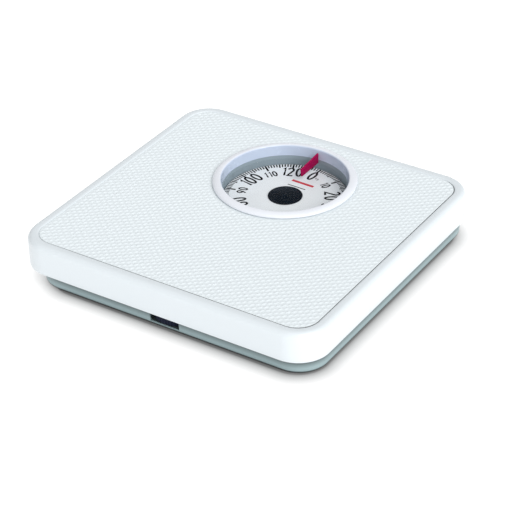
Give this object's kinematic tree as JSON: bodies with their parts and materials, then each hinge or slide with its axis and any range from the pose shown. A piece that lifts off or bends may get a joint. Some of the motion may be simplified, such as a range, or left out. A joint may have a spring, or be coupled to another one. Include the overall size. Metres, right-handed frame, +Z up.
{
  "type": "dial platform scale",
  "caption": "Low square mechanical dial scale: stand-on platform with ribbed mat, round dial window with pointer, lever and spring mechanism, and a zero wheel at the front edge.",
  "frame": {"origin": "centre of the footprint, on the surface the feet rest on", "axes": "+Z up, +Y from the zero wheel towards the dial, +X to the right of a user who reads the dial"},
  "size_m": [0.3, 0.286, 0.046],
  "materials": {
    "white_enamel": "gloss",
    "mat_rubber": "matt, moulded grain",
    "bezel_white": "gloss",
    "grey_plastic": "matt",
    "clear_plastic": "clear",
    "pointer_red": "satin",
    "tray_grey": "satin",
    "zinc_steel": "zinc plated",
    "dark_steel": "blackened",
    "spring_steel": "drawn wire",
    "brass": "machined",
    "foot_rubber": "matt",
    "dial_white": "satin",
    "cap_black": "gloss",
    "wheel_black": "moulded"
  },
  "bodies": {
    "base": {"base_tray": "tray_grey", "foot_front_left": "foot_rubber", "foot_front_right": "foot_rubber", "foot_rear_left": "foot_rubber", "foot_rear_right": "foot_rubber", "fulcrum_front_left": "zinc_steel", "fulcrum_front_right": "zinc_steel", "fulcrum_rear_left": "zinc_steel", "fulcrum_rear_right": "zinc_steel", "bracket_rivets": "zinc_steel", "spring_bridge": "zinc_steel", "pivot_shaft": "zinc_steel", "shaft_clips": "dark_steel", "rack_guide": "zinc_steel", "rack_saddle": "zinc_steel", "spring_post": "zinc_steel", "dial_bridge": "zinc_steel", "upper_bush": "brass", "lower_bush": "brass", "wheel_bush": "brass", "base_hooks": "zinc_steel"},
    "platform": {"platform_cover": "white_enamel", "tread_mat": "mat_rubber", "dial_bezel": "bezel_white", "window_seal": "grey_plastic", "dial_window": "clear_plastic", "pointer": "pointer_red", "dial_surround": "grey_plastic", "platform_hooks": "zinc_steel", "post_front_left": "zinc_steel", "post_front_right": "zinc_steel", "post_rear_left": "zinc_steel", "post_rear_right": "zinc_steel", "retaining_springs": "spring_steel"},
    "long_left": {"long_lever_left": "zinc_steel", "long_pins_left": "zinc_steel"},
    "long_right": {"long_lever_right": "zinc_steel", "long_pins_right": "zinc_steel"},
    "short_left": {"short_lever_left": "zinc_steel", "short_pins_left": "zinc_steel"},
    "short_right": {"short_lever_right": "zinc_steel", "short_pins_right": "zinc_steel"},
    "plate": {"calibrating_plate": "zinc_steel", "plate_pin": "zinc_steel", "lower_spring_plug": "zinc_steel", "main_spring": "spring_steel"},
    "crank": {"bell_crank": "zinc_steel", "crank_pin": "zinc_steel"},
    "rack": {"rack": "brass", "rack_spring": "spring_steel"},
    "dial": {"dial_disc": "dial_white", "dial_hub": "zinc_steel", "hub_cap": "cap_black", "dial_shaft": "zinc_steel", "pinion": "brass"},
    "adjuster": {"adjuster_lever": "zinc_steel", "upper_spring_plug": "zinc_steel", "hanger_nut": "zinc_steel"},
    "zero_wheel": {"zero_wheel": "wheel_black", "adjusting_screw": "zinc_steel"}
  },
  "joints": [
    {"name": "dial_spin", "type": "hinge", "parent": "base", "child": "dial", "pos_m": [0, 0.0588, 0.0261], "axis": [0, 0, 1], "range_deg": [0, 336], "stiffness_Nm_per_rad": 0.0321, "springref_deg": -6.3},
    {"name": "platform_drop", "type": "slide", "parent": "base", "child": "platform", "axis": [0, 0, -1], "range_m": [0, 0.0009277], "deforming": ["retaining_springs"]},
    {"name": "long_lever_left_tilt", "type": "hinge", "parent": "base", "child": "long_left", "pos_m": [0, 0.118, 0.019], "axis": [1, 0, 0], "range_deg": [0, 2.68]},
    {"name": "long_lever_right_tilt", "type": "hinge", "parent": "base", "child": "long_right", "pos_m": [0, 0.118, 0.019], "axis": [1, 0, 0], "range_deg": [0, 2.68]},
    {"name": "short_lever_left_tilt", "type": "hinge", "parent": "base", "child": "short_left", "pos_m": [0, -0.118, 0.019], "axis": [-1, 0, 0], "range_deg": [0, 2.68]},
    {"name": "short_lever_right_tilt", "type": "hinge", "parent": "base", "child": "short_right", "pos_m": [0, -0.118, 0.019], "axis": [-1, 0, 0], "range_deg": [0, 2.68]},
    {"name": "plate_drop", "type": "slide", "parent": "base", "child": "plate", "axis": [0, 0, -1], "range_m": [0, 0.00909], "deforming": ["main_spring"]},
    {"name": "crank_swing", "type": "hinge", "parent": "base", "child": "crank", "pos_m": [0, -0.049, 0.0275], "axis": [1, 0, 0], "range_deg": [0, 54.82]},
    {"name": "rack_slide", "type": "slide", "parent": "base", "child": "rack", "axis": [0, 1, 0], "range_m": [0, 0.01658], "deforming": ["rack_spring"]},
    {"name": "zero_wheel_turn", "type": "hinge", "parent": "base", "child": "zero_wheel", "pos_m": [0.0038, -0.118, 0.0095], "axis": [0, 0, 1], "range_deg": [-360, 360]},
    {"name": "adjuster_tilt", "type": "hinge", "parent": "base", "child": "adjuster", "pos_m": [0, -0.049, 0.0275], "axis": [1, 0, 0], "range_deg": [-0.85, 0.85], "deforming": ["main_spring"]}
  ],
  "couplings": [
    {"joint": "dial_spin", "follows": "platform_drop", "rad_per_m": 6320.4},
    {"joint": "long_lever_left_tilt", "follows": "platform_drop", "rad_per_m": 50},
    {"joint": "long_lever_right_tilt", "follows": "platform_drop", "rad_per_m": 50},
    {"joint": "short_lever_left_tilt", "follows": "platform_drop", "rad_per_m": 50},
    {"joint": "short_lever_right_tilt", "follows": "platform_drop", "rad_per_m": 50},
    {"joint": "plate_drop", "follows": "platform_drop", "ratio": 9.7},
    {"joint": "crank_swing", "follows": "platform_drop", "rad_per_m": 1020.9},
    {"joint": "rack_slide", "follows": "platform_drop", "ratio": 17.697},
    {"joint": "adjuster_tilt", "follows": "zero_wheel_turn", "ratio": 0.0023066}
  ]
}
